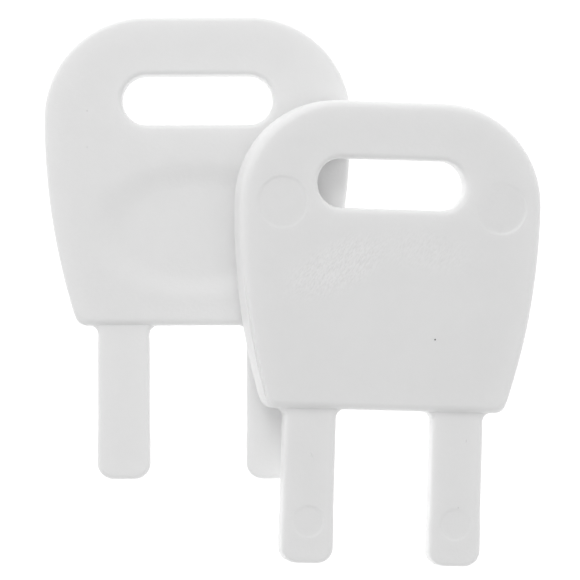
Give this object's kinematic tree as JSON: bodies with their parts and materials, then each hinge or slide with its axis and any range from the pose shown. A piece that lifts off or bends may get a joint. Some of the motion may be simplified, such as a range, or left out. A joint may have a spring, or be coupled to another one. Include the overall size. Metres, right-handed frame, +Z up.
{
  "type": "window restrictor release key pair",
  "caption": "Pair of flat moulded release keys for a cable window restrictor, each with a slotted head and two prongs, one lying across the other.",
  "frame": {"origin": "middle of the pair's footprint, on the surface that the keys lie on", "axes": "+Z up from that surface, +Y from the prongs towards the heads, +X to the right"},
  "size_m": [0.0492, 0.0543, 0.009],
  "materials": {
    "key_plastic": "white moulded plastic, satin, with fine mould grain"
  },
  "bodies": {
    "lower_key": {"lower_key": "key_plastic"},
    "upper_key": {"upper_key": "key_plastic"}
  },
  "joints": [
    {"name": "upper_key_lift", "type": "slide", "parent": "lower_key", "child": "upper_key", "axis": [0, 0, 1], "range_m": [0, 0.03]}
  ]
}
